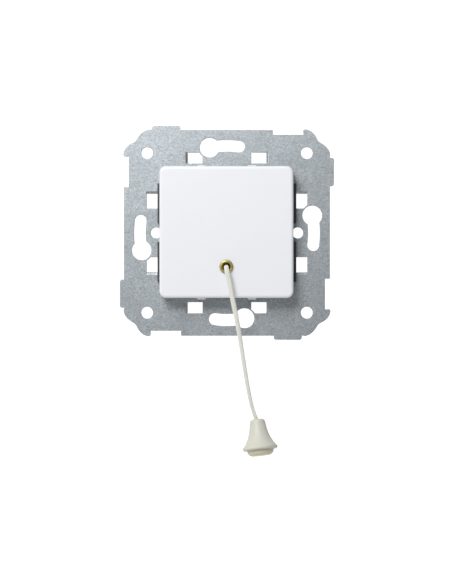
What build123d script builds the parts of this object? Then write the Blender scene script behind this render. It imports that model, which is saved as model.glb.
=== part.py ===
from build123d import *
import os
from math import asin, atan2, cos, degrees, hypot, pi, radians, sin, tan

# Pull cord switch for a 60 mm wall box. The wall is the plane Y = 0, the front looks along -Y,
# +Z is up, and the origin is the centre of the mounting frame's rear face. Millimetres.

os.makedirs("parts", exist_ok=True)

# ---- driving dimensions -------------------------------------------------------------------

# mounting frame
plate_t = 1.2
edge = 35.45
tab_edge = 36.85
recess_edge = 33.75
aperture = 21.2
corner_hole_pitch = 55.0
corner_hole_r = 2.05
side_hole_x = 24.4
side_hole_r = 1.9
keyhole = (-6.0, 29.4)
keyhole_r = 3.4
slot_w = 4.1
slot_end_angle = 8.0
window_x = (8.4, 13.6)
window_z = (23.9, 27.7)
flange_t = 0.8
flange_depth = 3.0
bend_r = 0.8
lug_half_w = 6.0
lug_t = 1.2
lug_depth = 7.0
lug_bend_r = 1.5
catch_y = (3.4, 5.0)
catch_reach = 1.1

# housing and carrier
case_half = 20.8
case_wall = 1.6
case_front = -2.7
case_back = 22.0
base_back = 20.8
case_floor = 20.0
case_corner = 2.0
inner_half = case_half - case_wall
ear_reach = 23.8
ear_z = (3.2, 16.9)
carrier_front = -4.7
screw_places = ((-16.4, -16.4), (16.4, -16.4), (-16.4, 7.5), (16.4, 7.5))
screw_r = 1.1

# cover
cover_half_w = 22.75
cover_half_h = 22.4
cover_front = -9.2
cover_back = -3.3
cover_wall = 1.8
cover_corner = 2.3
cover_round = 1.0
clip_at = 17.6
clip_half_w = 2.5
clip_side_z = -3.0

# cord line
cord_z = -11.8
cord_d = 1.5
cord_r = cord_d / 2
eyelet_bore_r = 1.3
eyelet_barrel_r = 1.7
eyelet_flange_r = 2.3
eyelet_front = -10.0
cord_travel = 7.0

# The free cord, from inside the eyelet, over its lip and down to the knot in the bell.
cord_points = [
    (0.0, -9.0, -11.8),
    (0.0, -10.6, -11.8),
    (0.15, -11.75, -12.95),
    (0.9, -11.85, -16.1),
    (2.03, -11.9, -22.3),
    (3.98, -11.9, -31.5),
    (5.57, -11.9, -42.0),
    (7.1, -11.9, -51.5),
    (8.23, -11.9, -57.5),
    (9.35, -11.88, -61.2),
    (10.15, -11.86, -63.1),
    (10.42, -12.09, -64.64),
]

# bell pull, measured along its own tilted axis from the centre of its top
bell_top = Vector(10.4, -11.86, -63.2)
bell_down = Vector(0.108, -0.16, -0.981).normalized()
bell_top_r = 2.65
bell_rim_r = 5.72
bell_height = 10.4
bell_hole_r = 1.25
shoulder_r = 1.1
cap_r = 4.5
cap_end = 12.35
cap_flat_r = 2.8
cap_shoulder = 8.9

# trip lever: the tip swings evenly about the plumb line through its pin
pin_y = 5.5
pin_z = 9.5
pin_r = 1.5
lever_arm = pin_z - cord_z
tip_y = pin_y + cord_travel / 2
lever_lean = degrees(asin((cord_travel / 2) / hypot(lever_arm, cord_travel / 2)))
lever_t = 2.0
hub_r = 2.8
spring_z = -3.0
running = 0.05

# ratchet wheel and cam
axle_y = 15.0
axle_z = -0.3
axle_r = 1.0
teeth = 8
tooth_r = 4.6
root_r = 3.5
ratchet_x = (-2.2, 0.5)
cam_x = (0.5, 3.5)
cam_low = 3.0
cam_high = 3.8
lobes = 4
pawl_reach = 9.85
pawl_lead = 5.5

# contact rocker
rocker_y = 11.0
rocker_z = -6.2
rocker_pin_r = 0.7
rocker_x = (0.9, 3.1)
contact_y = 18.4
tip_r = 0.8
shelf_front = 12.2
shelf_z = -14.0

# terminals
terminal_x = (-12.0, 0.0, 12.0)
wire_z = 15.2
wire_r = 1.6
cage_y = (10.4, 19.4)
cage_z = (12.3, 18.7)
wire_hole_r = 2.0
collar_height = 0.6
panel_z = -4.5
panel_size = (27.0, 17.0)
panel_depth = 0.4
snap_x = 17.2
gauge_z = -16.6
gauge_length = 9.0
gauge_width = 1.6
driver_hole_r = 2.6
driver_y = 15.0
strip_t = 0.6


# ---- helpers --------------------------------------------------------------------------------

def facing(y):
    """Plane at depth y that looks out of the wall: sketch X is X, sketch Y is Z."""
    return Plane.XZ.offset(-y)


def across(x):
    """Plane at x whose sketch X is Y and whose sketch Y is Z."""
    return Plane.YZ.offset(x)


def side_plane(k, out):
    """Plane on side k of the square, out from the middle: sketch X along the side, sketch Y is Y."""
    outward = Vector(sin(k * pi / 2), 0, cos(k * pi / 2))
    along = Vector(cos(k * pi / 2), 0, -sin(k * pi / 2))
    return Plane(origin=outward * out, x_dir=along, z_dir=outward)


def quarter(k, x, z):
    """Point (x, z) turned clockwise by k quarter turns."""
    for _ in range(k):
        x, z = z, -x
    return (x, z)


def save(piece, name):
    """Labels a finished piece and writes its own STEP file."""
    piece.label = name
    export_step(piece, f"parts/{name}.step")


def helix_spring(radius, wire, height, turns, start, direction):
    """Round-wire compression spring along direction, its first wire centre at start."""
    with BuildLine() as path:
        Helix(pitch=height / turns, height=height, radius=radius, center=start, direction=direction)
    with BuildPart() as coil:
        with BuildSketch(Plane(origin=path.line @ 0, z_dir=path.line % 0)):
            Circle(wire / 2)
        sweep(path=path.line, is_frenet=True)
    return coil.part


def lathe_plane(origin, direction):
    """Plane for a turned section: sketch X is the radius and sketch Y runs along direction."""
    sideways = direction.cross(Vector(0, 1, 0)).normalized()
    return Plane(origin=origin, x_dir=sideways, z_dir=sideways.cross(direction))


def polar(angle, r):
    """Point on an X-facing plane at this angle (degrees, from +Y towards +Z) round the cam axle."""
    return (axle_y + r * cos(radians(angle)), axle_z + r * sin(radians(angle)))


# ---- mounting frame -------------------------------------------------------------------------

# One quarter of the outline, from its tab to the next side's tab. The corner swells past the
# recess, dips a little and swells again.
tab_outline = [(-25.8, 35.4), (-25.8, tab_edge), (-16.1, tab_edge), (-16.1, edge)]
recess_outline = [(15.8, edge), (15.8, recess_edge), (26.3, recess_edge), (26.3, 35.3)]
hook_curve = [(26.8, 35.64), (28.9, 34.96), (30.7, 33.0), (31.4, 31.7), (32.9, 30.6), (34.9, 28.7)]
hook_curve.append(quarter(1, *tab_outline[0]))
claw_chamfer = 1.3
tab_round = 0.8
flange_end = window_x[1] + flange_t + bend_r
slot_start_angle = degrees(atan2(-keyhole[0], keyhole[1]))

with BuildPart() as mounting_frame:
    with BuildSketch(facing(0)):
        with BuildLine():
            for k in range(4):
                Polyline(*[quarter(k, x, z) for x, z in tab_outline + recess_outline + hook_curve[:1]])
                Spline(*[quarter(k, x, z) for x, z in hook_curve])
        make_face()
        fillet([v for v in vertices() if max(abs(v.X), abs(v.Y)) > tab_edge - 0.01], tab_round)
        with GridLocations(corner_hole_pitch, corner_hole_pitch, 2, 2):
            Circle(corner_hole_r, mode=Mode.SUBTRACT)
        with Locations((-side_hole_x, 0), (side_hole_x, 0)):
            Circle(side_hole_r, mode=Mode.SUBTRACT)
        RectangleRounded(2 * aperture, 2 * aperture, 1.5, mode=Mode.SUBTRACT)
        # room for the bends of the two lugs
        Rectangle(2 * lug_half_w, 2 * (aperture + lug_bend_r), mode=Mode.SUBTRACT)
    extrude(amount=plate_t)
    # keyholes: a round hole that a screw head passes, and an arc slot to turn it into
    with BuildSketch(facing(0)):
        for k in range(4):
            with Locations(quarter(k, *keyhole)):
                Circle(keyhole_r)
            with BuildLine() as slot_line:
                start = 90 - 90 * k - slot_end_angle
                CenterArc((0, 0), hypot(*keyhole), start, slot_start_angle + slot_end_angle)
            SlotArc(slot_line.edges()[0], slot_w)
    extrude(amount=plate_t, mode=Mode.SUBTRACT)
    # claw windows, open out to where their folded flanges begin
    with BuildSketch(facing(0)):
        for k in range(4):
            for mirror_x in (-1, 1):
                inner = mirror_x * window_x[0]
                outer = mirror_x * flange_end
                low, high = window_z
                corners = [(inner, low), (outer, low), (outer, high), (inner, high)]
                if mirror_x < 0:
                    corners[3:] = [(inner - claw_chamfer, high), (inner, high - claw_chamfer)]
                with BuildLine():
                    Polyline(*[quarter(k, x, z) for x, z in corners], close=True)
                make_face()
    extrude(amount=plate_t, mode=Mode.SUBTRACT)
    # the flanges, folded back round the windows' outer ends
    for k in range(4):
        with BuildSketch(side_plane(k, window_z[0])):
            for mirror_x in (-1, 1):
                inside = mirror_x * window_x[1]
                outside = mirror_x * (window_x[1] + flange_t)
                bend_end = mirror_x * (window_x[1] + bend_r)
                root = mirror_x * flange_end
                with BuildLine():
                    Line((inside, flange_depth), (inside, bend_r - plate_t))
                    RadiusArc((inside, bend_r - plate_t), (bend_end, -plate_t), -mirror_x * bend_r)
                    Polyline(
                        (bend_end, -plate_t),
                        (root, -plate_t),
                        (root, 0),
                        (outside + mirror_x * 0.2, 0),
                        (outside, 0.2),
                        (outside, flange_depth),
                        (inside, flange_depth),
                    )
                make_face()
        extrude(amount=window_z[1] - window_z[0])
    # lugs folded back above and below the aperture, with a window that the housing's catch enters
    for k in (0, 2):
        outward = side_plane(k, 0).z_dir
        along = side_plane(k, 0).x_dir
        with BuildSketch(Plane(origin=along * lug_half_w, x_dir=outward, z_dir=along * -1)):
            with BuildLine():
                lug_out = aperture + lug_t
                Line((aperture, lug_depth), (aperture, lug_bend_r - plate_t))
                RadiusArc((aperture, lug_bend_r - plate_t), (aperture + lug_bend_r, -plate_t), -lug_bend_r)
                Polyline(
                    (aperture + lug_bend_r, -plate_t),
                    (aperture + lug_bend_r, 0),
                    (lug_out + 0.2, 0),
                    (lug_out, 0.2),
                    (lug_out, lug_depth),
                    (aperture, lug_depth),
                )
            make_face()
        extrude(amount=2 * lug_half_w)
        with BuildSketch(side_plane(k, aperture)):
            with Locations((0, sum(catch_y) / 2)):
                Rectangle(7.0, catch_y[1] - catch_y[0] + 0.4)
        extrude(amount=lug_t, mode=Mode.SUBTRACT)
save(mounting_frame.part, "mounting_frame")


# ---- base housing, rear cover and mechanism base --------------------------------------------

lever_posts = [(-8.3, -6.3), (6.3, 8.3)]
axle_posts = [(-4.6, -2.6), (3.8, 5.8)]
rocker_posts = [(-0.9, 0.6), (3.4, 4.9)]
cell_low = 13.2

# square tube that the cover and the mechanism base close
with BuildPart() as base_housing:
    with BuildSketch(facing(base_back)):
        RectangleRounded(2 * case_half, 2 * case_half, case_corner)
        RectangleRounded(2 * inner_half, 2 * inner_half, 1.0, mode=Mode.SUBTRACT)
    extrude(amount=base_back - case_front)
    # four ears that stop on the front of the mounting frame
    with BuildSketch(facing(-plate_t)):
        for sx in (-1, 1):
            for sz in (-1, 1):
                with Locations((sx * (ear_reach + inner_half) / 2, sz * sum(ear_z) / 2)):
                    Rectangle(ear_reach - inner_half, ear_z[1] - ear_z[0])
    extrude(amount=-plate_t - case_front)
    # catches, ramped at the back, that snap into the frame's lugs
    for k in (0, 2):
        outward = side_plane(k, 0).z_dir
        along = side_plane(k, 0).x_dir
        with BuildSketch(Plane(origin=along * 3, x_dir=outward, z_dir=along * -1)):
            with BuildLine():
                Polyline(
                    (case_half - 0.5, catch_y[0]),
                    (case_half + catch_reach, catch_y[0]),
                    (case_half + catch_reach, catch_y[0] + 0.3),
                    (case_half - 0.5, catch_y[1]),
                    close=True,
                )
            make_face()
        extrude(amount=6)
    # screw bosses in the corners
    with BuildSketch(facing(case_floor)):
        for x, z in screw_places:
            with Locations((x, z)):
                Circle(2.2)
            wall = inner_half + 0.2 if x > 0 else -inner_half - 0.2
            with Locations(((x + wall) / 2, z)):
                Rectangle(abs(wall - x), 2.4)
    extrude(amount=case_floor - case_front)
    with BuildSketch(facing(10.0)):
        with Locations(*screw_places):
            Circle(screw_r)
    extrude(amount=10.0 - case_front, mode=Mode.SUBTRACT)
    # driver holes through the top wall
    with BuildSketch(Plane.XY.offset(inner_half - 0.1)):
        for x in terminal_x:
            with Locations((x, driver_y)):
                Circle(driver_hole_r)
    extrude(amount=case_wall + 0.2, mode=Mode.SUBTRACT)
    # finger ribs moulded on the two side walls
    for sx in (-1, 1):
        with BuildSketch(facing(18.0)):
            with Locations(*[(sx * (case_half + 0.1), z) for z in (-9, -6, -3, 0, 3, 6, 9)]):
                Rectangle(0.6, 1.0)
        extrude(amount=11)
save(base_housing.part, "base_housing")

with BuildPart() as rear_cover:
    with BuildSketch(facing(case_back)):
        RectangleRounded(2 * case_half, 2 * case_half, case_corner)
    extrude(amount=case_back - base_back)
    fillet(faces().sort_by(Axis.Y)[-1].outer_wire().edges(), 0.8)
    # collars round the wire entries
    with BuildSketch(facing(case_back)):
        for x in terminal_x:
            with Locations((x, wire_z)):
                Circle(3.2)
    extrude(amount=-collar_height)
    with BuildSketch(facing(case_back + collar_height)):
        for x in terminal_x:
            with Locations((x, wire_z)):
                Circle(wire_hole_r)
    extrude(amount=case_back + collar_height - base_back, mode=Mode.SUBTRACT)
    # a sunk panel, and below it the gauge for stripping the wires
    with BuildSketch(facing(case_back)):
        with Locations((0, panel_z)):
            RectangleRounded(*panel_size, 1.5)
        with Locations((0, gauge_z)):
            SlotOverall(gauge_length, gauge_width)
    extrude(amount=panel_depth, mode=Mode.SUBTRACT)
    # a raised frame inside the panel, and snap windows beside it
    with BuildSketch(facing(case_back)):
        with Locations((0, panel_z)):
            RectangleRounded(panel_size[0] - 5, panel_size[1] - 5, 1.0)
            RectangleRounded(panel_size[0] - 7, panel_size[1] - 7, 0.6, mode=Mode.SUBTRACT)
    extrude(amount=panel_depth)
    with BuildSketch(facing(case_back)):
        with Locations((-snap_x, panel_z), (snap_x, panel_z)):
            RectangleRounded(1.8, 6.0, 0.5)
    extrude(amount=panel_depth + 0.2, mode=Mode.SUBTRACT)
save(rear_cover.part, "rear_cover")

with BuildPart() as mechanism_base:
    with BuildSketch(facing(base_back)):
        RectangleRounded(2 * inner_half - 0.3, 2 * inner_half - 0.3, 0.9)
    extrude(amount=base_back - case_floor)
    # posts that carry the lever pin, the cam axle and the rocker pin
    for (post_x0, post_x1), low_y, low_z, high_z in (
        [(span, 2.6, pin_z - 3, pin_z + 3) for span in lever_posts]
        + [(span, 12.6, axle_z - 2.2, axle_z + 2.2) for span in axle_posts]
        + [(span, 9.9, rocker_z - 1.5, rocker_z + 1.05) for span in rocker_posts]
    ):
        with BuildSketch(across(post_x0)):
            with Locations(((low_y + case_floor) / 2, (low_z + high_z) / 2)):
                Rectangle(case_floor - low_y, high_z - low_z)
        extrude(amount=post_x1 - post_x0)
    # shelf under the contact spring
    with BuildSketch(across(-0.5)):
        with Locations(((shelf_front + case_floor) / 2, shelf_z - 0.6)):
            Rectangle(case_floor - shelf_front, 1.2)
    extrude(amount=5)
    # three cells that hold the terminal cages
    cell_high = inner_half - 0.15
    for x in terminal_x:
        for sx in (-1, 1):
            with BuildSketch(across(x + sx * 4.1 - 0.5)):
                with Locations(((cage_y[0] + case_floor) / 2, (cell_low + cell_high) / 2)):
                    Rectangle(case_floor - cage_y[0], cell_high - cell_low)
            extrude(amount=1.0)
    with BuildSketch(facing(base_back)):
        for x in terminal_x:
            with Locations((x, wire_z)):
                Circle(wire_hole_r)
    extrude(amount=base_back - case_floor, mode=Mode.SUBTRACT)
    # pin and axle bores
    with BuildSketch(across(-9)):
        with Locations((pin_y, pin_z)):
            Circle(pin_r)
    extrude(amount=18, mode=Mode.SUBTRACT)
    with BuildSketch(across(-4.0)):
        with Locations((axle_y, axle_z)):
            Circle(axle_r)
    extrude(amount=9.2, mode=Mode.SUBTRACT)
    with BuildSketch(across(-1)):
        with Locations((rocker_y, rocker_z)):
            Circle(rocker_pin_r)
    extrude(amount=6, mode=Mode.SUBTRACT)
save(mechanism_base.part, "mechanism_base")


# ---- front carrier, guide bush and case screws ----------------------------------------------

guide_r = 2.2
guide_bore_r = 1.05
# centre and size of each slot that a clip leg of the cover passes
clip_slots = [
    (clip_at, clip_side_z, 1.9, 5.8),
    (-clip_at, clip_side_z, 1.9, 5.8),
    (0, clip_at, 5.8, 1.9),
    (0, -clip_at, 5.8, 1.9),
]

with BuildPart() as front_carrier:
    with BuildSketch(facing(case_front)):
        RectangleRounded(2 * case_half - 0.4, 2 * case_half - 0.4, 1.8)
        with Locations((0, cord_z)):
            Circle(guide_r, mode=Mode.SUBTRACT)
        with Locations(*screw_places):
            Circle(screw_r + 0.3, mode=Mode.SUBTRACT)
        for x, z, w, h in clip_slots:
            with Locations((x, z)):
                Rectangle(w, h, mode=Mode.SUBTRACT)
    extrude(amount=case_front - carrier_front)
    with BuildSketch(facing(carrier_front)):
        with Locations(*screw_places):
            Circle(2.1)
    extrude(amount=-1.1, mode=Mode.SUBTRACT)
    # spigot that centres the lever's return spring
    with BuildSketch(facing(case_front)):
        with Locations((0, spring_z)):
            Circle(1.5)
    extrude(amount=-2.5)
    # stiffening ribs on the front
    with BuildSketch(facing(carrier_front)):
        with Locations((-8, 0), (8, 0)):
            Rectangle(1.2, 24)
        with Locations((0, 8)):
            Rectangle(24, 1.2)
    extrude(amount=1.2)
save(front_carrier.part, "front_carrier")

with BuildPart() as cord_guide:
    with BuildSketch(facing(case_front)):
        with Locations((0, cord_z)):
            Circle(guide_r)
    extrude(amount=2.4)
    with BuildSketch(facing(case_front + 1.0)):
        with Locations((0, cord_z)):
            Circle(3.2)
    extrude(amount=1.0)
    with BuildSketch(facing(case_front + 1.0)):
        with Locations((0, cord_z)):
            Circle(guide_bore_r)
    extrude(amount=3.4, mode=Mode.SUBTRACT)
    bore_edges = edges().filter_by(GeomType.CIRCLE).filter_by(lambda e: abs(e.radius - guide_bore_r) < 0.01)
    fillet(bore_edges, 0.5)
save(cord_guide.part, "cord_guide")

with BuildPart() as case_screws:
    with BuildSketch(facing(9.0)):
        with Locations(*screw_places):
            Circle(screw_r)
    extrude(amount=9.0 - carrier_front - 1.1)
    with BuildSketch(facing(carrier_front + 1.1)):
        with Locations(*screw_places):
            Circle(2.0)
    extrude(amount=1.3)
    with BuildSketch(facing(carrier_front - 0.2)):
        for x, z in screw_places:
            with Locations((x, z)):
                Rectangle(2.4, 0.5)
                Rectangle(0.5, 2.4)
    extrude(amount=-0.8, mode=Mode.SUBTRACT)
save(case_screws.part, "case_screws")


# ---- cover plate ----------------------------------------------------------------------------

tab_mid = 8.65
tab_half_w = 1.55
tab_taper = 0.25
tab_proud = 0.6
skirt_t = 1.5

with BuildPart() as cover_plate:
    with BuildSketch(facing(cover_back)):
        RectangleRounded(2 * cover_half_w, 2 * cover_half_h, cover_corner)
    extrude(amount=cover_back - cover_front)
    fillet(faces().sort_by(Axis.Y)[0].outer_wire().edges(), cover_round)
    with BuildSketch(facing(cover_back)):
        RectangleRounded(2 * (cover_half_w - skirt_t), 2 * (cover_half_h - skirt_t), cover_corner - skirt_t)
    extrude(amount=cover_back - cover_front - cover_wall, mode=Mode.SUBTRACT)
    # release tabs at the rear edge, above and below
    for sz in (-1, 1):
        with BuildSketch(facing(cover_back)):
            for mid in (-tab_mid, tab_mid):
                with BuildLine():
                    Polyline(
                        (mid - tab_half_w, sz * (cover_half_h - 0.5)),
                        (mid - tab_half_w, sz * cover_half_h),
                        (mid - tab_half_w + tab_taper, sz * (cover_half_h + tab_proud)),
                        (mid + tab_half_w - tab_taper, sz * (cover_half_h + tab_proud)),
                        (mid + tab_half_w, sz * cover_half_h),
                        (mid + tab_half_w, sz * (cover_half_h - 0.5)),
                        close=True,
                    )
                make_face()
        extrude(amount=1.0)
    # clip legs with hooks that catch behind the carrier
    for outward_x, outward_z in ((1, 0), (-1, 0), (0, 1), (0, -1)):
        middle = clip_side_z if outward_x else 0.0
        leg_plane = Plane(
            origin=(abs(outward_z) * -clip_half_w, 0, middle - clip_half_w * abs(outward_x)),
            x_dir=(outward_x, 0, outward_z),
            z_dir=(abs(outward_z), 0, abs(outward_x)),
        )
        # the leg's own depth axis is Y or -Y, depending on the side
        depth = leg_plane.y_dir.Y
        with BuildSketch(leg_plane):
            with BuildLine():
                Polyline(
                    (clip_at - 0.7, depth * (cover_front + cover_wall)),
                    (clip_at - 0.7, depth * (case_front + 1.4)),
                    (clip_at - 0.1, depth * (case_front + 1.4)),
                    (clip_at + 0.9, depth * (case_front + 0.4)),
                    (clip_at + 0.9, depth * (case_front + 0.05)),
                    (clip_at + 0.5, depth * (case_front + 0.05)),
                    (clip_at + 0.5, depth * (cover_front + cover_wall)),
                    close=True,
                )
            make_face()
        extrude(amount=2 * clip_half_w)
    # hole for the eyelet
    with BuildSketch(facing(cover_front + cover_wall)):
        with Locations((0, cord_z)):
            Circle(eyelet_barrel_r)
    extrude(amount=cover_wall, mode=Mode.SUBTRACT)
save(cover_plate.part, "cover_plate")


# ---- eyelet ---------------------------------------------------------------------------------

eyelet_axis = Axis((0, 0, cord_z), (0, 1, 0))
with BuildPart() as eyelet:
    # section in the plane through the axis: sketch X is the radius, sketch Y is Y
    with BuildSketch(Plane(origin=(0, 0, cord_z), x_dir=(1, 0, 0), z_dir=(0, 0, 1))):
        with BuildLine():
            roll_back = cover_front + cover_wall
            ThreePointArc((eyelet_bore_r, cover_front), (1.75, eyelet_front), (eyelet_flange_r, cover_front))
            Polyline(
                (eyelet_flange_r, cover_front),
                (eyelet_barrel_r, cover_front),
                (eyelet_barrel_r, roll_back),
                (2.2, roll_back),
            )
            ThreePointArc((2.2, roll_back), (1.75, roll_back + 0.75), (eyelet_bore_r, roll_back))
            Line((eyelet_bore_r, roll_back), (eyelet_bore_r, cover_front))
        make_face()
    revolve(axis=eyelet_axis)
save(eyelet.part, "eyelet")


# ---- free cord ------------------------------------------------------------------------------

route = [Vector(*p) for p in cord_points]
runs = [(b - a).length for a, b in zip(route, route[1:])]
turns = [(b - a).get_angle(c - b) for a, b, c in zip(route, route[1:], route[2:])]
bend_radii = [0.45 * min(p, q) / tan(radians(t / 2)) for p, q, t in zip(runs, runs[1:], turns)]

with BuildPart() as pull_cord:
    with BuildLine() as cord_line:
        FilletPolyline(*route, radius=bend_radii)
    with BuildSketch(Plane(origin=route[0], z_dir=route[1] - route[0])):
        Circle(cord_r)
    sweep(path=cord_line.wires()[0])
save(pull_cord.part, "pull_cord")
cord_length = cord_line.wires()[0].length
print("cord runs", [round(r, 2) for r in runs])
print("cord bend radii", [round(r, 2) for r in bend_radii])
print("cord length", round(cord_length, 2))
print("cord volume", round(pull_cord.part.volume, 3))
print("cord section x length", round(pi * cord_r**2 * cord_length, 3))


# ---- bell pull ------------------------------------------------------------------------------

bell_section = lathe_plane(bell_top, bell_down * -1)
bell_axis = Axis(bell_top, bell_down)

# radius and height of the flare outside and of the hollow inside
bell_flare = [(bell_top_r, -shoulder_r), (2.85, -2.53), (3.35, -4.76), (4.25, -7.02), (5.15, -8.5)]
bell_flare.append((bell_rim_r, -9.2))
bell_inside = [(3.95, -cap_shoulder), (3.0, -7.02), (2.15, -4.76), (1.75, -1.8)]

with BuildPart() as bell_shell:
    # sketch X is the radius, sketch Y is the height below the top
    with BuildSketch(bell_section):
        with BuildLine():
            Line((bell_hole_r, 0), (bell_top_r - shoulder_r, 0))
            RadiusArc((bell_top_r - shoulder_r, 0), (bell_top_r, -shoulder_r), shoulder_r)
            Spline(*bell_flare)
            ThreePointArc(bell_flare[-1], (bell_rim_r + 0.2, -9.85), (bell_rim_r - 0.3, -bell_height))
            Line((bell_rim_r - 0.3, -bell_height), (cap_r, -bell_height))
            Polyline((cap_r, -bell_height), (cap_r, -cap_shoulder), bell_inside[0])
            Spline(*bell_inside)
            Polyline(bell_inside[-1], (bell_hole_r, -1.5), (bell_hole_r, 0))
        make_face()
    revolve(axis=bell_axis)
save(bell_shell.part, "bell_shell")

with BuildPart() as bell_cap:
    with BuildSketch(bell_section):
        with BuildLine():
            Polyline((0, -cap_end + 1.0), (0, -cap_end), (cap_flat_r, -cap_end))
            ThreePointArc((cap_flat_r, -cap_end), (cap_r - 0.42, -cap_end + 0.62), (cap_r, -bell_height - 0.15))
            Polyline(
                (cap_r, -bell_height - 0.15),
                (cap_r, -cap_shoulder),
                (cap_r - 0.9, -cap_shoulder),
                (cap_r - 0.9, -cap_end + 1.0),
                (0, -cap_end + 1.0),
            )
        make_face()
    revolve(axis=bell_axis)
save(bell_cap.part, "bell_cap")

# The knot starts on the cord's end face and is wider than the bell's hole.
cord_end_direction = (route[-1] - route[-2]).normalized()
with BuildPart() as cord_knot:
    with BuildSketch(lathe_plane(route[-1], cord_end_direction)):
        with BuildLine():
            Polyline((0, 0), (cord_r, 0), (cord_r, 0.3))
            ThreePointArc((cord_r, 0.3), (1.45, 1.5), (cord_r, 2.7))
            Polyline((cord_r, 2.7), (0.6, 3.9), (0, 3.9), (0, 0))
        make_face()
    revolve(axis=Axis(route[-1], cord_end_direction))
save(cord_knot.part, "cord_knot")


# ---- inner cord and ferrule -----------------------------------------------------------------

ferrule_y = (10.45, 12.2)

with BuildPart() as inner_cord:
    with BuildSketch(facing(ferrule_y[1] - 0.3)):
        with Locations((0, cord_z)):
            Circle(cord_r)
    extrude(amount=ferrule_y[1] - 0.3 - cord_points[0][1])
save(inner_cord.part, "inner_cord")

with BuildPart() as cord_ferrule:
    with BuildSketch(facing(ferrule_y[1])):
        with Locations((0, cord_z)):
            Circle(1.9)
    extrude(amount=ferrule_y[1] - ferrule_y[0])
    chamfer(faces().sort_by(Axis.Y)[-1].edges(), 0.4)
    with BuildSketch(facing(ferrule_y[1] - 0.3)):
        with Locations((0, cord_z)):
            Circle(cord_r)
    extrude(amount=ferrule_y[1] - ferrule_y[0], mode=Mode.SUBTRACT)
save(cord_ferrule.part, "cord_ferrule")


# ---- trip lever, its pin, spring and drive pawl ---------------------------------------------

pin_at = Vector(0, pin_y, pin_z)
tip_at = Vector(0, tip_y, cord_z)
arm_down = (tip_at - pin_at).normalized()
arm_side = Vector(0, arm_down.Z, -arm_down.Y) * -1

with BuildPart() as trip_lever:
    with BuildSketch(across(-6.1)):
        with Locations((pin_y, pin_z)):
            Circle(hub_r)
    extrude(amount=12.2)
    # flat arm, wide at the hub and narrow at the tip; sketch Y runs up the arm
    arm_plane = Plane(origin=pin_at - arm_side * (lever_t / 2), x_dir=(1, 0, 0), z_dir=arm_side)
    arm_sign = -1 if arm_plane.y_dir.Z > 0 else 1
    with BuildSketch(arm_plane):
        with BuildLine():
            reach = (tip_at - pin_at).length + 2.6
            outline = [(5.0, 0), (4.2, 6), (2.6, 14), (2.6, reach)]
            right = [(w, arm_sign * down) for w, down in outline]
            left = [(-w, arm_sign * down) for w, down in reversed(outline)]
            Polyline(*right, *left, close=True)
        make_face()
    extrude(amount=lever_t)
    # slot that the inner cord passes through
    with BuildSketch(facing(tip_y + 4)):
        with Locations((0, cord_z)):
            SlotOverall(2.9, 2.0, rotation=90)
    extrude(amount=8, mode=Mode.SUBTRACT)
    with BuildSketch(across(-7)):
        with Locations((pin_y, pin_z)):
            Circle(pin_r + running)
    extrude(amount=14, mode=Mode.SUBTRACT)
save(trip_lever.part, "trip_lever")

with BuildPart() as lever_pin:
    with BuildSketch(across(-8.3)):
        with Locations((pin_y, pin_z)):
            Circle(pin_r)
    extrude(amount=16.6)
    chamfer(edges().filter_by(GeomType.CIRCLE), 0.2)
save(lever_pin.part, "lever_pin")

# The return spring reaches from the carrier to the front of the arm.
arm_front = pin_y + (tip_y - pin_y) * (pin_z - spring_z) / lever_arm - lever_t / 2
return_length = arm_front - case_front - 1.3
return_spring = helix_spring(2.2, 0.5, return_length, 6, (0, case_front + 0.35, spring_z), (0, 1, 0))
save(return_spring, "return_spring")

centre_line = degrees(atan2(axle_z - pin_z, axle_y - pin_y))
pawl_angle = centre_line + lever_lean

with BuildPart() as drive_pawl:
    # sketch X runs from the pin towards the pawl's tip
    pawl_dir = (0, cos(radians(pawl_angle)), sin(radians(pawl_angle)))
    with BuildSketch(Plane(origin=(-1.9, pin_y, pin_z), x_dir=pawl_dir, z_dir=(1, 0, 0))):
        with BuildLine():
            Polyline(
                (hub_r - 0.05, 0),
                (pawl_reach, 0),
                (pawl_reach - 0.55, 0.5),
                (hub_r + 1.2, 0.5),
                (hub_r + 0.6, 1.1),
                (hub_r - 0.25, 1.1),
                close=True,
            )
        make_face()
        with Locations((0, 0)):
            Circle(hub_r, mode=Mode.SUBTRACT)
    extrude(amount=2.1)
save(drive_pawl.part, "drive_pawl")


# ---- ratchet wheel with cam, axle and detent ------------------------------------------------

half_step = 180 / teeth
tooth_at = centre_line + 180 - half_step + pawl_lead
# a valley of the cam stands over the rocker's follower at rest
valley_at = 270.0
cam_step = 180 / lobes

with BuildPart() as ratchet_cam:
    with BuildSketch(across(ratchet_x[0])):
        with BuildLine():
            for k in range(teeth):
                flank = tooth_at + k * 360 / teeth
                back = flank + 360 / teeth
                middle = polar((flank + back) / 2, (root_r + tooth_r) / 2 - 0.05)
                Line(polar(flank, root_r), polar(flank, tooth_r))
                ThreePointArc(polar(flank, tooth_r), middle, polar(back, root_r))
        make_face()
    extrude(amount=ratchet_x[1] - ratchet_x[0])
    # each lobe's radius grows evenly with the angle and falls evenly again
    with BuildSketch(across(cam_x[0])):
        with BuildLine():
            for k in range(lobes):
                valley = valley_at + k * 360 / lobes
                rising = [(cam_step * s / 4, cam_low + (cam_high - cam_low) * s / 4) for s in range(5)]
                falling = [(2 * cam_step - a, r) for a, r in reversed(rising)]
                Spline(*[polar(valley + a, r) for a, r in rising])
                Spline(*[polar(valley + a, r) for a, r in falling])
        make_face()
    extrude(amount=cam_x[1] - cam_x[0])
    with BuildSketch(across(-3)):
        with Locations((axle_y, axle_z)):
            Circle(axle_r + running)
    extrude(amount=8, mode=Mode.SUBTRACT)
save(ratchet_cam.part, "ratchet_cam")

with BuildPart() as cam_axle:
    with BuildSketch(across(-4.0)):
        with Locations((axle_y, axle_z)):
            Circle(axle_r)
    extrude(amount=9.2)
save(cam_axle.part, "cam_axle")

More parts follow.
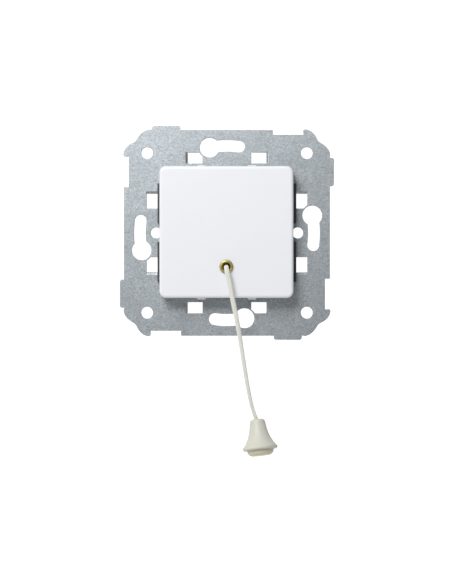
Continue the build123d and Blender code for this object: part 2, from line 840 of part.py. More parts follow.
# Leaf that rests against a tooth's steep side, so the wheel can't turn back.
held_flank = tooth_at - 360 / teeth
leaf_tip = polar(held_flank - 6, tooth_r - 0.3)
with BuildPart() as detent_spring:
    with BuildSketch(across(-1.9)):
        with BuildLine():
            Polyline(
                leaf_tip,
                (19.3, 8.0),
                (case_floor, 8.0),
                (case_floor, 11.6),
                (19.4, 11.6),
                (19.4, 8.4),
                (18.9, 8.4),
                (leaf_tip[0] - 0.25, leaf_tip[1] + 0.3),
                close=True,
            )
        make_face()
    extrude(amount=2.1)
save(detent_spring.part, "detent_spring")


# ---- contact rocker, blade, tips, spring ----------------------------------------------------

follower_r = 0.8
follower_z = axle_z - cam_low - 0.12 - follower_r
bar_low = rocker_z - 0.8
bar_high = rocker_z + 0.4
blade_t = 0.4

with BuildPart() as contact_rocker:
    with BuildSketch(across(rocker_x[0])):
        with Locations((rocker_y, rocker_z)):
            Circle(1.35)
        with Locations(((rocker_y + 19.2) / 2, (bar_low + bar_high) / 2)):
            Rectangle(19.2 - rocker_y, bar_high - bar_low)
        with Locations((axle_y, follower_z)):
            Circle(follower_r)
        with Locations((axle_y, (follower_z + bar_high) / 2)):
            Rectangle(2 * follower_r, follower_z - bar_high)
    extrude(amount=rocker_x[1] - rocker_x[0])
    with BuildSketch(across(rocker_x[0])):
        with Locations((rocker_y, rocker_z)):
            Circle(rocker_pin_r + running)
    extrude(amount=3, mode=Mode.SUBTRACT)
    # hole for the tips' rivet
    with BuildSketch(Plane.XY.offset(bar_low)):
        with Locations((sum(rocker_x) / 2, contact_y)):
            Circle(0.5)
    extrude(amount=bar_high - bar_low, mode=Mode.SUBTRACT)
save(contact_rocker.part, "contact_rocker")

with BuildPart() as rocker_pin:
    with BuildSketch(across(-1.6)):
        with Locations((rocker_y, rocker_z)):
            Circle(rocker_pin_r)
    extrude(amount=6.5)
save(rocker_pin.part, "rocker_pin")

contact_x = sum(rocker_x) / 2
with BuildPart() as moving_contact:
    with BuildSketch(Plane.XY.offset(bar_high)):
        with Locations((contact_x, (axle_y + follower_r + 19.2) / 2)):
            Rectangle(2.0, 19.2 - axle_y - follower_r)
        with Locations((contact_x, contact_y)):
            Circle(0.5, mode=Mode.SUBTRACT)
    extrude(amount=blade_t)
save(moving_contact.part, "moving_contact")

with BuildPart() as moving_tips:
    with BuildSketch(Plane.XY.offset(bar_high + blade_t)):
        with Locations((contact_x, contact_y)):
            Circle(tip_r)
    extrude(amount=0.6)
    fillet(faces().sort_by(Axis.Z)[-1].edges(), 0.25)
    with BuildSketch(Plane.XY.offset(bar_low)):
        with Locations((contact_x, contact_y)):
            Circle(0.5)
    extrude(amount=bar_high + blade_t - bar_low)
    with BuildSketch(Plane.XY.offset(bar_low)):
        with Locations((contact_x, contact_y)):
            Circle(tip_r)
    extrude(amount=-0.5)
    fillet(faces().sort_by(Axis.Z)[0].edges(), 0.25)
save(moving_tips.part, "moving_tips")

contact_length = bar_low - shelf_z - 0.5
contact_spring = helix_spring(1.2, 0.4, contact_length, 6, (contact_x, 14.2, shelf_z + 0.25), (0, 0, 1))
save(contact_spring, "contact_spring")


# ---- strips, fixed tips, cages and terminal screws ------------------------------------------

moving_top = bar_high + blade_t + 0.6
rocker_swing = (cam_high - cam_low) / (axle_y - rocker_y)
moving_low = bar_low - 0.5 - rocker_swing * (contact_y - rocker_y)
upper_tip = moving_top + 0.06
lower_tip = moving_low - 0.3
tail_z = 12.95
strip_w = 1.6

with BuildPart() as upper_contact_strip:
    with BuildSketch(facing(case_floor)):
        with Locations((12, (tail_z + upper_tip + 0.35) / 2)):
            Rectangle(2.4, tail_z - upper_tip - 0.35)
        with Locations(((13.2 + 0.9) / 2, upper_tip + 0.35 + strip_w / 2)):
            Rectangle(13.2 - 0.9, strip_w)
    extrude(amount=strip_t)
    with BuildSketch(Plane.XY.offset(upper_tip + 0.35)):
        with Locations((contact_x, (17.2 + case_floor) / 2)):
            Rectangle(2.2, case_floor - 17.2)
    extrude(amount=strip_t)
save(upper_contact_strip.part, "upper_contact_strip")

with BuildPart() as lower_contact_strip:
    with BuildSketch(facing(case_floor)):
        with Locations((-12, (tail_z + lower_tip - 0.35 - strip_w) / 2)):
            Rectangle(2.4, tail_z - lower_tip + 0.35 + strip_w)
        with Locations(((-13.2 + 3.1) / 2, lower_tip - 0.35 - strip_w / 2)):
            Rectangle(16.3, strip_w)
    extrude(amount=strip_t)
    with BuildSketch(Plane.XY.offset(lower_tip - 0.35)):
        with Locations((contact_x, (17.2 + case_floor) / 2)):
            Rectangle(2.2, case_floor - 17.2)
    extrude(amount=-strip_t)
save(lower_contact_strip.part, "lower_contact_strip")

with BuildPart() as common_strip:
    with BuildSketch(facing(case_floor)):
        with Locations((-4.3, (tail_z + 12.7) / 2 - 0.1)):
            Rectangle(11.4, 0.4)
        with Locations((-9.6, (tail_z + rocker_z) / 2)):
            Rectangle(1.4, tail_z - rocker_z)
        with Locations(((-10.3 - 1.0) / 2, rocker_z)):
            Rectangle(9.3, strip_w)
    extrude(amount=strip_t)
    with BuildSketch(across(-1.6)):
        with Locations(((9.8 + case_floor) / 2, rocker_z)):
            Rectangle(case_floor - 9.8, 2.0)
        with Locations((rocker_y, rocker_z)):
            Circle(rocker_pin_r, mode=Mode.SUBTRACT)
    extrude(amount=strip_t)
save(common_strip.part, "common_strip")

with BuildPart() as fixed_tips:
    for level, way in ((upper_tip, 1), (lower_tip, -1)):
        with BuildSketch(Plane.XY.offset(level)):
            with Locations((contact_x, contact_y)):
                Circle(tip_r)
        extrude(amount=way * 0.35)
save(fixed_tips.part, "fixed_tips")

for x, side_name in zip(terminal_x, ("left", "middle", "right")):
    with BuildPart() as cage:
        with BuildSketch(facing(cage_y[1])):
            with Locations((x, sum(cage_z) / 2)):
                Rectangle(7.0, cage_z[1] - cage_z[0])
        extrude(amount=cage_y[1] - cage_y[0])
        chamfer(edges().filter_by(Axis.Y), 0.4)
        with BuildSketch(facing(cage_y[1])):
            with Locations((x, wire_z)):
                Circle(wire_r)
        extrude(amount=cage_y[1] - cage_y[0], mode=Mode.SUBTRACT)
        with BuildSketch(Plane.XY.offset(wire_z)):
            with Locations((x, driver_y)):
                Circle(1.5)
        extrude(amount=cage_z[1] - wire_z, mode=Mode.SUBTRACT)
    save(cage.part, f"terminal_cage_{side_name}")

screw_tip = wire_z + wire_r + 0.15
with BuildPart() as terminal_screws:
    with BuildSketch(Plane.XY.offset(screw_tip)):
        for x in terminal_x:
            with Locations((x, driver_y)):
                Circle(1.5)
    extrude(amount=cage_z[1] - screw_tip)
    with BuildSketch(Plane.XY.offset(cage_z[1])):
        for x in terminal_x:
            with Locations((x, driver_y)):
                Circle(2.4)
    extrude(amount=1.7)
    chamfer(faces().sort_by(Axis.Z)[-3:].edges(), 0.3)
    with BuildSketch(Plane.XY.offset(cage_z[1] + 1.7)):
        for x in terminal_x:
            with Locations((x, driver_y)):
                Rectangle(5.0, 0.7)
                Rectangle(0.7, 3.0)
    extrude(amount=-0.9, mode=Mode.SUBTRACT)
save(terminal_screws.part, "terminal_screws")
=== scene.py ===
from math import cos, pi, radians, sin

import bpy
import numpy as np
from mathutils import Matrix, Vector


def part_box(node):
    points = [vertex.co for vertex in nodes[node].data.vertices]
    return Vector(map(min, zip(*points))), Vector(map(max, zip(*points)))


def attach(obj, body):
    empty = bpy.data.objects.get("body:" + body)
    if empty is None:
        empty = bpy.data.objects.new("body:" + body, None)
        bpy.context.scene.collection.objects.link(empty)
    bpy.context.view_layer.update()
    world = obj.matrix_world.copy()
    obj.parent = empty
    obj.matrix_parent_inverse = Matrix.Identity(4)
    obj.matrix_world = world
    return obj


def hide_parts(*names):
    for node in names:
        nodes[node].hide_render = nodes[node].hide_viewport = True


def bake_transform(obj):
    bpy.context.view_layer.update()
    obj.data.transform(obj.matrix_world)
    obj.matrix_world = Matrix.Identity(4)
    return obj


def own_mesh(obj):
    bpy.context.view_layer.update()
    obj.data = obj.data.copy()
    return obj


MM = 0.001
X, Y, Z = 0, 1, 2

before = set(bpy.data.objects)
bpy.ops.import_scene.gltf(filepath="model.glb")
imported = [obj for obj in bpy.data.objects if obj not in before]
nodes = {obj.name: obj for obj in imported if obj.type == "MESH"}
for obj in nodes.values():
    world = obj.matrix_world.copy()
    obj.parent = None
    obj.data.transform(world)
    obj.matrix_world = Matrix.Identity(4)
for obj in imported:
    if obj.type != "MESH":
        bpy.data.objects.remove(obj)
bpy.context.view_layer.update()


# ---- scene and mesh helpers -------------------------------------------------------------------

def add_object(name, data):
    """New object in the scene, with its mesh, light or camera."""
    obj = bpy.data.objects.new(name, data)
    bpy.context.scene.collection.objects.link(obj)
    return obj


def add_mesh(name, vertices, faces, uvs=None, smooth=True):
    """Object from lists of points and faces; uvs holds one (u, v) per face corner."""
    mesh = bpy.data.meshes.new(name)
    mesh.from_pydata([tuple(v) for v in vertices], [], faces)
    if uvs is not None:
        layer = mesh.uv_layers.new(name="along")
        layer.data.foreach_set("uv", np.asarray(uvs, np.float32).ravel())
    mesh.polygons.foreach_set("use_smooth", [smooth] * len(mesh.polygons))
    mesh.update()
    return add_object(name, mesh)


def read_line(points, resolution):
    """Points along the NURBS line that has these control points."""
    curve = bpy.data.curves.new("line", "CURVE")
    curve.dimensions = "3D"
    spline = curve.splines.new("NURBS")
    spline.points.add(len(points) - 1)
    for control, p in zip(spline.points, points):
        control.co = (*p, 1)
    spline.order_u = 3
    spline.use_endpoint_u = True
    spline.resolution_u = resolution
    holder = bpy.data.objects.new("line", curve)
    mesh = bpy.data.meshes.new_from_object(holder)
    line = np.array([v.co for v in mesh.vertices], float)
    bpy.data.objects.remove(holder)
    bpy.data.meshes.remove(mesh)
    return line


def unit(vectors):
    return vectors / np.linalg.norm(vectors, axis=1)[:, None]


def lengths_along(line):
    """How far along the line each of its points is."""
    return np.r_[0, np.cumsum(np.linalg.norm(np.diff(line, axis=0), axis=1))]


def evenly(line, step):
    """The same line with its points about a step apart, and how far along each one is."""
    lengths = lengths_along(line)
    count = max(int(round(lengths[-1] / step)), 2) + 1
    wanted = np.linspace(0, lengths[-1], count)
    return np.stack([np.interp(wanted, lengths, line[:, k]) for k in range(3)], 1), wanted


def frames_along(line):
    """Tangent and two normals at each point, with no twist from one point to the next."""
    tangent = unit(np.gradient(line, axis=0))
    # the first normal starts near +X, just far enough off it to suit a line along X too
    first = np.array([1.0, 0.02, 0.01])
    first -= (first @ tangent[0]) * tangent[0]
    normal = [first / np.linalg.norm(first)]
    for t in tangent[1:]:
        n = normal[-1] - (normal[-1] @ t) * t
        normal.append(n / np.linalg.norm(n))
    normal = np.array(normal)
    return tangent, normal, np.cross(tangent, normal)


# how far a tube's domed end stands out, in steps of its line
DOME = 0.4


def tube_mesh(line, half_wide, half_thick, wide, thick, sides, first_vertex=0, v_offset=0):
    """Vertices, faces and uvs of a tube with domed ends, whose section is an ellipse.

    half_wide and half_thick are the ellipse's half axes at each point, and wide and thick their
    directions. u is millimetres along the tube, and v goes once round it from v_offset.
    """
    angle = np.linspace(0, 2 * pi, sides, endpoint=False)
    rings = (
        line[:, None, :]
        + half_wide[:, None, None] * np.cos(angle)[None, :, None] * wide[:, None, :]
        + half_thick[:, None, None] * np.sin(angle)[None, :, None] * thick[:, None, :]
    )
    vertices = list(rings.reshape(-1, 3))
    along = lengths_along(line) / MM
    last = len(line) - 1
    faces, uvs = [], []
    for i in range(last):
        for j in range(sides):
            k = (j + 1) % sides
            a, b = first_vertex + i * sides, first_vertex + (i + 1) * sides
            faces.append((a + j, a + k, b + k, b + j))
            low, high = j / sides + v_offset, (j + 1) / sides + v_offset
            uvs += [(along[i], low), (along[i], high), (along[i + 1], high), (along[i + 1], low)]
    for end, outward in ((0, -1), (last, 1)):
        vertices.append(line[end] + (line[end] - line[end - outward]) * DOME)
        tip = first_vertex + len(vertices) - 1
        ring = first_vertex + end * sides
        for j in range(sides):
            k = (j + 1) % sides
            low, high = j / sides + v_offset, (j + 1) / sides + v_offset
            if outward > 0:
                faces.append((ring + j, ring + k, tip))
                uvs += [(along[end], low), (along[end], high), (along[end], high)]
            else:
                faces.append((ring + k, ring + j, tip))
                uvs += [(along[end], high), (along[end], low), (along[end], low)]
    return vertices, faces, uvs


# ---- camera -----------------------------------------------------------------------------------

# half a metre in front of the wall plane, looking straight back at it
camera_data = bpy.data.cameras.new("camera")
camera_data.sensor_width = 36
camera_data.lens = 89.3
camera_data.shift_x = -0.0616
camera_data.clip_start = 0.01
camera = add_object("camera", camera_data)
camera.location = (0.01206, -0.5, -0.02037)
camera.rotation_euler = (radians(90), 0, 0)
bpy.context.scene.camera = camera


# ---- braided cord -----------------------------------------------------------------------------

# CARRIERS is the number of strands that go each way round
CARRIERS = 6
BRAID_RADIUS = 0.50 * MM
BRAID_WAVE = 0.10 * MM
BRAID_PITCH = 7.4 * MM
BRAID_STEP = 0.17 * MM
STRAND_HALF_WIDE = 0.205 * MM
STRAND_HALF_THICK = 0.15 * MM
STRAND_SIDES = 8
CORE_RADIUS = 0.40 * MM
CORE_SIDES = 10


def braid(name, line, scale=1.0, step=BRAID_STEP, wide_at=np.ones_like, thick_at=np.ones_like):
    """Flat strands, as many each way round, that pass over and under each other on a core.

    wide_at and thick_at give how wide and how thick the braid is along its length, as shares of
    a round one's size.
    """
    line, s = evenly(line, step)
    _, normal, binormal = frames_along(line)
    across, through = wide_at(s), thick_at(s)
    # the flat side of the braid faces forward, so its width lies along the first normal
    side = normal * across[:, None]
    front = binormal * through[:, None]
    pitch = BRAID_PITCH * scale
    wave = np.cos(2 * CARRIERS * pi * s / pitch)
    half_thick = np.full(len(line), scale * STRAND_HALF_THICK)
    vertices, faces, uvs = [], [], []
    for way, first_strand in ((1, 0), (-1, CARRIERS)):
        for k in range(CARRIERS):
            turn = way * 2 * pi * s / pitch + k * 2 * pi / CARRIERS
            cosine, sine = np.cos(turn)[:, None], np.sin(turn)[:, None]
            radius = scale * (BRAID_RADIUS + way * BRAID_WAVE * wave)
            path = line + radius[:, None] * (cosine * side + sine * front)
            along = unit(np.gradient(path, axis=0))
            wide = unit(np.cross(along, cosine * normal + sine * binormal))
            v, f, uv = tube_mesh(
                path,
                scale * across * STRAND_HALF_WIDE,
                half_thick,
                wide,
                np.cross(wide, along),
                STRAND_SIDES,
                len(vertices),
                first_strand + k,
            )
            vertices += v
            faces += f
            uvs += uv
    core = scale * CORE_RADIUS
    v, f, uv = tube_mesh(
        line, core * across, core * through, normal, binormal, CORE_SIDES, len(vertices), 2 * CARRIERS
    )
    return add_mesh(name, vertices + v, faces + f, uvs + uv)


# The cord leaves the eyelet, turns down over its lip and runs down to the knot in the bell.
cord_route = [
    (0.0, -9.0, -11.8),
    (0.0, -10.6, -11.8),
    (0.15, -11.75, -12.95),
    (0.9, -11.85, -16.1),
    (2.03, -11.9, -22.3),
    (3.98, -11.9, -31.5),
    (5.57, -11.9, -42.0),
    (7.1, -11.9, -51.5),
    (8.23, -11.9, -57.5),
    (9.35, -11.88, -61.2),
    (10.15, -11.86, -63.1),
    (10.42, -12.09, -64.64),
]
cord_line = read_line([[c * MM for c in p] for p in cord_route], 24)

# the free cord's section, as shares of a round braid's width and thickness
FREE_LENGTH = 56 * MM
WIDE_AT_EYELET, WIDE_AT_BELL = 1.27, 0.94
THICK_AT_EYELET, THICK_AT_BELL = 0.86, 0.92
THROAT_PINCH = 0.16
THROAT_LENGTH = 1.5 * MM


def slack_width(s):
    """The braid lies flat and wide below the eyelet's throat and draws round towards the bell."""
    t = np.clip(s / FREE_LENGTH, 0, 1)
    pinch = THROAT_PINCH * np.exp(-s / THROAT_LENGTH)
    return WIDE_AT_EYELET + (WIDE_AT_BELL - WIDE_AT_EYELET) * t - pinch


def slack_thickness(s):
    """The braid is pressed thinner where it lies flat."""
    return THICK_AT_EYELET + (THICK_AT_BELL - THICK_AT_EYELET) * np.clip(s / FREE_LENGTH, 0, 1)


pull_cord = braid("braided_pull_cord", cord_line, wide_at=slack_width, thick_at=slack_thickness)
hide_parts("pull_cord")

# the knot under the bell's top: the cord wound round itself, with its tail standing out below
KNOT_SCALE = 0.86
KNOT_STEP = 0.14 * MM
KNOT_TURNS = 2.2
KNOT_RADIUS = 0.74 * MM
KNOT_POINTS = 18
WINDING_TOP = 0.75 * MM
WINDING_HEIGHT = 1.75 * MM
knot_low, knot_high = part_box("cord_knot")
knot_top = Vector(cord_line[-1])
knot_end = Vector(((knot_low.x + knot_high.x) / 2, (knot_low.y + knot_high.y) / 2, knot_low.z))
knot_length = (knot_end - knot_top).length
knot_down = (knot_end - knot_top).normalized()
knot_side = knot_down.cross(Vector((0, 1, 0))).normalized()
knot_other = knot_down.cross(knot_side)


def below_top(depth):
    """Point on the knot's axis, this far below the cord's end."""
    return knot_top + knot_down * depth


knot_points = [below_top(-0.2 * MM), below_top(0.5 * MM)]
for t in np.linspace(0, 1, KNOT_POINTS):
    angle = 2 * pi * KNOT_TURNS * t
    # the winding opens out from the axis over its first half turn
    reach = KNOT_RADIUS * min(1, 0.35 + 3 * t)
    round_axis = (knot_side * cos(angle) + knot_other * sin(angle)) * reach
    knot_points.append(below_top(WINDING_TOP + WINDING_HEIGHT * t) + round_axis)
knot_points += [below_top(3.2 * MM), below_top(knot_length - 0.1 * MM)]
knot = braid("wound_cord_knot", read_line(knot_points, 8), scale=KNOT_SCALE, step=KNOT_STEP)
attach(knot, "bell")
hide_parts("cord_knot")

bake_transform(pull_cord)

# the same cord inside the case, from the eyelet to its ferrule, with room for its domed end
DOME_ROOM = 0.05 * MM
inner_low, inner_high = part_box("inner_cord")
inner_z = (inner_low.z + inner_high.z) / 2
inner_line = np.array([(0, inner_low.y, inner_z), (0, inner_high.y - DOME_ROOM, inner_z)])
inner_cord = braid("braided_inner_cord", inner_line)
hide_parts("inner_cord")
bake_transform(inner_cord)


# ---- coil springs -----------------------------------------------------------------------------

SPRING_TURNS = 6.5
POINTS_PER_TURN = 26
CLOSED_TURNS = 0.8
CLOSED_RISE = 0.12
WIRE_SIDES = 10


def coil_line(radius, length):
    """Line of a compression spring from 0 to length along its own axis, with its end turns closed."""
    t = np.linspace(0, 1, int(SPRING_TURNS * POINTS_PER_TURN) + 1)
    angle = 2 * pi * SPRING_TURNS * t
    closed = CLOSED_TURNS / SPRING_TURNS
    rise = np.interp(t, [0, closed, 1 - closed, 1], [0, CLOSED_RISE, 1 - CLOSED_RISE, 1])
    return np.stack([radius * np.cos(angle), radius * np.sin(angle), rise * length], 1)


def coil_spring(node, axis, wire):
    """Wound round wire that fills the box of a CAD spring, whose axis is Y or Z."""
    low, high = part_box(node)
    centre = (low + high) / 2
    other = Y + Z - axis
    coil = coil_line((high.x - low.x) / 2 - wire, high[axis] - low[axis] - 2 * wire)
    line = np.empty_like(coil)
    line[:, X] = coil[:, 0] + centre.x
    line[:, other] = coil[:, 1] + centre[other]
    line[:, axis] = coil[:, 2] + low[axis] + wire
    _, normal, binormal = frames_along(line)
    radius = np.full(len(line), wire)
    return add_mesh(node + "_coil", *tube_mesh(line, radius, radius, normal, binormal, WIRE_SIDES))


return_spring = coil_spring("return_spring", Y, 0.25 * MM)
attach(return_spring, "case")
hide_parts("return_spring")
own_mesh(return_spring)

contact_spring = coil_spring("contact_spring", Z, 0.2 * MM)
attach(contact_spring, "case")
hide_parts("contact_spring")
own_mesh(contact_spring)


# ---- shader nodes -----------------------------------------------------------------------------

def map_range(tree, value, low, high, start, end):
    """Goes from low to high as the value goes from start to end."""
    node = tree.nodes.new("ShaderNodeMapRange")
    for socket, number in (("From Min", start), ("From Max", end), ("To Min", low), ("To Max", high)):
        node.inputs[socket].default_value = number
    tree.links.new(value, node.inputs["Value"])
    return node.outputs["Result"]


def vector_math(tree, operation, vector, constant=None, output="Vector"):
    """A vector worked on alone, or together with a constant one."""
    node = tree.nodes.new("ShaderNodeVectorMath")
    node.operation = operation
    tree.links.new(vector, node.inputs[0])
    if constant is not None:
        node.inputs[1].default_value = constant
    return node.outputs[output]


class Finish:
    """A node material under construction. Its texture coordinates are millimetres on the object."""

    def __init__(self, name, colour, along=False, **sockets):
        self.material = bpy.data.materials.new(name)
        self.material.use_nodes = True
        self.tree = self.material.node_tree
        self.nodes = self.tree.nodes
        self.links = self.tree.links
        self.bsdf = self.nodes["Principled BSDF"]
        self.bsdf.inputs["Base Color"].default_value = (*colour, 1)
        for socket, value in sockets.items():
            self.bsdf.inputs[socket.replace("_", " ")].default_value = value
        coordinates = self.nodes.new("ShaderNodeTexCoord")
        self.where = coordinates.outputs["UV" if along else "Object"]
        self.per_mm = 1.0 if along else 1.0 / MM
        self.normal = None

    def feed(self, value, socket):
        """Link a node's output to a socket, or set the socket to a number or a colour."""
        if hasattr(value, "links"):
            self.links.new(value, socket)
        else:
            socket.default_value = (*value, 1) if socket.type == "RGBA" else value

    def mapped(self, stretch=(1, 1, 1)):
        node = self.nodes.new("ShaderNodeMapping")
        node.inputs["Scale"].default_value = [k * self.per_mm for k in stretch]
        self.links.new(self.where, node.inputs["Vector"])
        return node.outputs["Vector"]

    def noise(self, per_mm, detail=3, rough=0.55, stretch=(1, 1, 1), distortion=0.0):
        node = self.nodes.new("ShaderNodeTexNoise")
        node.inputs["Scale"].default_value = per_mm
        node.inputs["Detail"].default_value = detail
        node.inputs["Roughness"].default_value = rough
        node.inputs["Distortion"].default_value = distortion
        self.links.new(self.mapped(stretch), node.inputs["Vector"])
        return node.outputs["Fac"]

    def cells(self, per_mm):
        """Crystal-like cells, each with a value of its own."""
        node = self.nodes.new("ShaderNodeTexVoronoi")
        node.inputs["Scale"].default_value = per_mm
        self.links.new(self.mapped(), node.inputs["Vector"])
        return node.outputs["Color"]

    def ramp(self, fac, stops):
        node = self.nodes.new("ShaderNodeValToRGB")
        self.links.new(fac, node.inputs["Fac"])
        elements = node.color_ramp.elements
        while len(elements) < len(stops):
            elements.new(0.5)
        for element, (place, colour) in zip(elements, stops):
            element.position = place
            element.color = (*colour, 1)
        return node.outputs["Color"]

    def span(self, fac, low, high, start=0.0, end=1.0):
        return map_range(self.tree, fac, low, high, start, end)

    def mix(self, a, b, fac):
        node = self.nodes.new("ShaderNodeMix")
        node.data_type = "RGBA"
        self.feed(fac, node.inputs["Factor"])
        for value, socket in zip((a, b), [s for s in node.inputs if s.type == "RGBA"]):
            self.feed(value, socket)
        return [s for s in node.outputs if s.type == "RGBA"][0]

    def colour(self, value):
        self.links.new(value, self.bsdf.inputs["Base Color"])

    def rough(self, value):
        self.links.new(value, self.bsdf.inputs["Roughness"])

    def shade_with(self, normal):
        self.normal = normal
        self.links.new(normal, self.bsdf.inputs["Normal"])

    def soft_edges(self, radius_mm):
        """Edges catch the light as if worn round to this radius."""
        node = self.nodes.new("ShaderNodeBevel")
        node.samples = 4
        node.inputs["Radius"].default_value = radius_mm * MM
        self.shade_with(node.outputs["Normal"])

    def bump(self, fac, depth_mm, strength):
        """Relief on top of any edges and bumps that the finish already has."""
        node = self.nodes.new("ShaderNodeBump")
        node.inputs["Strength"].default_value = strength
        node.inputs["Distance"].default_value = depth_mm * MM
        self.links.new(fac, node.inputs["Height"])
        if self.normal is not None:
            self.links.new(self.normal, node.inputs["Normal"])
        self.shade_with(node.outputs["Normal"])

    def on(self, *names):
        for name in names:
            obj = nodes.get(name) or bpy.data.objects[name]
            if not obj.material_slots:
                obj.data.materials.append(self.material)
            for slot in obj.material_slots:
                slot.material = self.material


def shade(colour, k):
    return tuple(min(c * k, 1.0) for c in colour)


# ---- materials --------------------------------------------------------------------------------

def zinc_sheet():
    """Galvanised sheet: fine bright and dark grain, faint spangle, rolling marks and dull patches."""
    base = (0.406, 0.440, 0.464)
    f = Finish("zinc_sheet", base, Metallic=0.95)
    grain = f.noise(2.2, detail=5, rough=0.85, stretch=(0.85, 1, 1.15))
    colour = f.ramp(grain, [(0.34, shade(base, 0.50)), (0.5, base), (0.66, shade(base, 1.55))])
    colour = f.mix(colour, shade(base, 1.35), f.span(f.cells(0.7), 0, 0.22))
    patches = f.noise(0.11, detail=3, rough=0.5)
    f.colour(f.mix(colour, shade(base, 0.8), f.span(patches, 0, 0.3, 0.42, 0.68)))
    f.rough(f.span(f.noise(1.7, detail=5, rough=0.7), 0.40, 0.55, 0.3, 0.7))
    f.soft_edges(0.22)
    f.bump(grain, 0.010, 0.8)
    rolling_marks = f.noise(1.0, detail=3, stretch=(0.04, 1, 2.4))
    f.bump(rolling_marks, 0.006, 0.5)
    return f


def moulded(name, base, rough, grain_mm=0.010, grain_scale=3.0, tint=0.04, smear=0.07, **sockets):
    """Moulded plastic: a fine texture, faint flow marks, handling sheen and a slight colour drift."""
    f = Finish(name, base, **sockets)
    drift = f.noise(0.09, detail=3, rough=0.5, distortion=0.4)
    colour = f.ramp(drift, [(0.3, shade(base, 1 - tint)), (0.5, base), (0.7, shade(base, 1 + tint))])
    flow = f.noise(0.5, detail=4, rough=0.6, stretch=(1, 1, 0.35), distortion=0.8)
    f.colour(f.mix(colour, shade(base, 1 - 2 * tint), f.span(flow, 0, 0.4, 0.5, 0.8)))
    smears = f.noise(0.28, detail=4, rough=0.65)
    f.rough(f.span(smears, rough - smear, rough + smear, 0.3, 0.7))
    f.bump(f.noise(grain_scale, detail=4, rough=0.6), grain_mm, 0.6)
    f.bump(f.noise(0.35, detail=2), grain_mm, 0.35)
    return f


def metal(name, base, rough, scratches=(0.06, 1, 1), tarnish=0.25):
    """Worked metal: fine lines along the tool's way, tarnish in patches and an uneven polish."""
    f = Finish(name, base, Metallic=1.0)
    lines = f.noise(4.8, detail=4, rough=0.7, stretch=scratches)
    colour = f.ramp(lines, [(0.3, shade(base, 0.86)), (0.55, base), (0.75, shade(base, 1.12))])
    dull = (base[0] * 0.62, base[1] * 0.55, base[2] * 0.46)
    patches = f.noise(0.35, detail=4, rough=0.6, distortion=0.5)
    f.colour(f.mix(colour, dull, f.span(patches, 0, tarnish, 0.5, 0.75)))
    f.rough(f.span(f.noise(0.9, detail=5, rough=0.7), rough - 0.07, rough + 0.10, 0.3, 0.7))
    f.bump(lines, 0.004, 0.5)
    return f


def eyelet_brass():
    """Lacquered brass: turned lines, olive tarnish in patches, and painted shade, dark olive, deep in
    the rolled throat.
    """
    f = metal("eyelet_brass", (0.54, 0.45, 0.17), 0.38, scratches=(1, 0.3, 1), tarnish=0.5)
    # painted shade: the brass turns dark olive towards the eyelet's axis, fully within 1.28 mm of it
    # and fading out by 1.75 mm, where shade falls in the throat
    low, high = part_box("eyelet")
    from_centre = vector_math(f.tree, "SUBTRACT", f.mapped(), (low + high) / 2 / MM)
    across_axis = vector_math(f.tree, "MULTIPLY", from_centre, (1, 0, 1))
    radius = vector_math(f.tree, "LENGTH", across_axis, output="Value")
    unshaded_brass = f.bsdf.inputs["Base Color"].links[0].from_socket
    f.colour(f.mix(unshaded_brass, (0.30, 0.22, 0.03), f.span(radius, 0.85, 0.0, 1.28, 1.75)))
    return f


def cord_fibre():
    """Soft off-white yarn: filaments along each strand, dusty hollows and a faint sheen."""
    base = (0.78, 0.785, 0.725)
    f = Finish("cord_fibre", base, along=True, Sheen_Weight=0.35, Sheen_Roughness=0.5)
    filaments = f.noise(1.0, detail=4, rough=0.6, stretch=(0.5, 14, 1))
    colour = f.ramp(filaments, [(0.25, shade(base, 0.76)), (0.5, base), (0.75, shade(base, 1.14))])
    slubs = f.noise(0.6, detail=3, rough=0.5, stretch=(1, 2, 1))
    f.colour(f.mix(colour, shade(base, 0.85), f.span(slubs, 0, 0.5, 0.45, 0.75)))
    f.rough(f.span(filaments, 0.62, 0.85, 0.3, 0.7))
    f.bump(filaments, 0.035, 0.8)
    return f


zinc_sheet().on("mounting_frame")
eyelet_brass().on("eyelet", "cord_ferrule")
cord_fibre().on("braided_pull_cord", "braided_inner_cord", "wound_cord_knot")

moulded(
    "white_cover", (0.822, 0.838, 0.874), 0.34, grain_mm=0.004, grain_scale=1.6, tint=0.004, smear=0.02,
    Coat_Weight=0.1, Coat_Roughness=0.25,
).on("cover_plate")
black_housing = moulded("black_housing", (0.045, 0.046, 0.050), 0.46, grain_mm=0.020, tint=0.12)
black_housing.on("base_housing", "rear_cover")
carrier_plastic = moulded("carrier_plastic", (0.050, 0.051, 0.055), 0.50, grain_mm=0.015, tint=0.12)
carrier_plastic.on("front_carrier", "mechanism_base")

# light goes a few millimetres into the bell's thin walls
TRANSLUCENT = {"Subsurface_Weight": 0.3, "Subsurface_Radius": (0.003, 0.0025, 0.0018)}
moulded(
    "bell_ivory", (0.65, 0.65, 0.565), 0.44, grain_mm=0.006, grain_scale=2.0, tint=0.03, **TRANSLUCENT
).on("bell_shell")
moulded(
    "cap_ivory", (0.68, 0.65, 0.49), 0.42, grain_mm=0.008, grain_scale=2.0, tint=0.04, **TRANSLUCENT
).on("bell_cap")

moulded("lever_nylon", (0.70, 0.67, 0.58), 0.42, tint=0.05).on("trip_lever", "cord_guide")
moulded("ratchet_nylon", (0.52, 0.055, 0.035), 0.36, tint=0.08).on("ratchet_cam")
moulded("rocker_plastic", (0.42, 0.36, 0.28), 0.50, tint=0.08).on("contact_rocker")

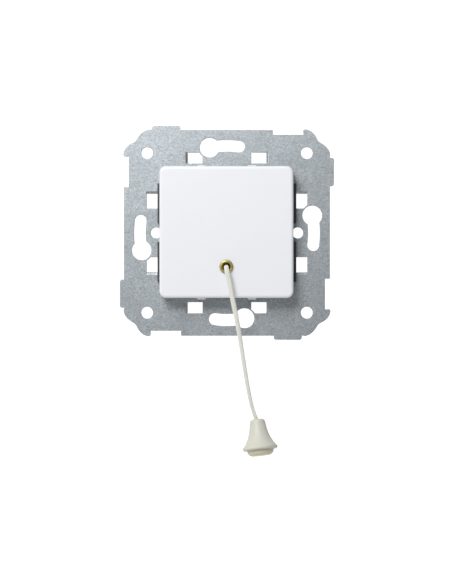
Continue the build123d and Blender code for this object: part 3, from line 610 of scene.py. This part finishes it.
bright_steel = metal("bright_steel", (0.66, 0.67, 0.68), 0.24, scratches=(0.05, 1, 1))
bright_steel.on("lever_pin", "cam_axle")
spring_steel = metal("spring_steel", (0.40, 0.41, 0.43), 0.32, scratches=(1, 1, 0.2))
spring_steel.on("return_spring_coil", "contact_spring_coil", "detent_spring", "drive_pawl")
screw_zinc = metal("screw_zinc", (0.60, 0.62, 0.60), 0.30, scratches=(1, 1, 1), tarnish=0.3)
screw_zinc.on("case_screws", "terminal_screws")
contact_brass = metal("contact_brass", (0.74, 0.55, 0.26), 0.30, scratches=(1, 1, 0.08), tarnish=0.4)
contact_brass.on("common_strip", "upper_contact_strip", "lower_contact_strip", "moving_contact")
contact_brass.on("rocker_pin", "terminal_cage_left", "terminal_cage_middle", "terminal_cage_right")
contact_silver = metal("contact_silver", (0.86, 0.85, 0.82), 0.20, scratches=(1, 1, 1), tarnish=0.15)
contact_silver.on("moving_tips", "fixed_tips")


# ---- floor ------------------------------------------------------------------------------------

FLOOR_Z = -0.6
FLOOR_REACH = 30
PALE, PALER = (0.66, 0.66, 0.66), (0.68, 0.68, 0.68)
GLOW_NEAR, GLOW_FAR = 0.2, 0.85
GLOW_FROM_MM, GLOW_TO_MM = -300.0, 1500.0

floor = add_mesh(
    "floor",
    [(x * FLOOR_REACH, y * FLOOR_REACH, FLOOR_Z) for x, y in ((-1, -1), (1, -1), (1, 1), (-1, 1))],
    [(0, 1, 2, 3)],
    smooth=False,
)
paper = Finish("floor_paper", PALE, Emission_Color=(1, 1, 1, 1))
paper.colour(paper.ramp(paper.noise(0.02, detail=4), [(0.3, PALE), (0.7, PALER)]))
paper.rough(paper.span(paper.noise(0.5), 0.75, 0.9))
# the paper glows, more so further back, where it meets the white behind the object
places = paper.nodes.new("ShaderNodeSeparateXYZ")
paper.links.new(paper.mapped(), places.inputs["Vector"])
glow = paper.span(places.outputs["Y"], GLOW_NEAR, GLOW_FAR, GLOW_FROM_MM, GLOW_TO_MM)
paper.links.new(glow, paper.bsdf.inputs["Emission Strength"])
paper.on("floor")


# ---- light and surroundings -------------------------------------------------------------------

key = bpy.data.lights.new("key", "AREA")
key.size = 0.28
key.energy = 2.92
key_light = add_object("key", key)
key_light.location = (-0.175, -0.48, 0.32)
aim = Vector((0, -0.005, -0.015)) - key_light.location
key_light.rotation_euler = aim.to_track_quat("-Z", "Y").to_euler()

world = bpy.data.worlds.new("studio")
bpy.context.scene.world = world
world.use_nodes = True
sky = world.node_tree
background = sky.nodes["Background"]
background.inputs["Color"].default_value = (1, 1, 1, 1)
direction = sky.nodes.new("ShaderNodeTexCoord").outputs["Generated"]


def facing(vector, start, end, low, high):
    """Brightness that goes from low to high as a ray turns towards a vector.

    start and end are cosines of the angle between the ray and the vector.
    """
    cosine = vector_math(sky, "DOT_PRODUCT", direction, Vector(vector).normalized(), "Value")
    return map_range(sky, cosine, low, high, start, end)


def added(a, b):
    node = sky.nodes.new("ShaderNodeMath")
    node.operation = "ADD"
    sky.links.new(a, node.inputs[0])
    sky.links.new(b, node.inputs[1])
    return node.outputs["Value"]


# the object is lit softly from the upper left, with white behind it and less light from in front
soft_from_above = facing((-0.8, 0, 0.7), start=-0.8, end=0.8, low=0.16, high=0.58)
white_behind = facing((0, 1, 0), start=0.7, end=0.93, low=0.0, high=0.9)
dim_in_front = facing((0, -1, 0), start=0.45, end=0.95, low=0.0, high=-0.33)
lighting = added(added(white_behind, soft_from_above), dim_in_front)

# the camera itself sees a paler backdrop: white behind the front view and pale grey in the others
backdrop = facing((0, 1, 0), start=-0.6, end=0.9, low=0.72, high=1.1)
seen = sky.nodes.new("ShaderNodeMix")
seen.data_type = "FLOAT"
sky.links.new(sky.nodes.new("ShaderNodeLightPath").outputs["Is Camera Ray"], seen.inputs["Factor"])
sky.links.new(lighting, seen.inputs["A"])
sky.links.new(backdrop, seen.inputs["B"])
sky.links.new(seen.outputs["Result"], background.inputs["Strength"])
bpy.context.scene.view_settings.view_transform = "Standard"


# ---- the end ----------------------------------------------------------------------------------

bpy.context.view_layer.update()
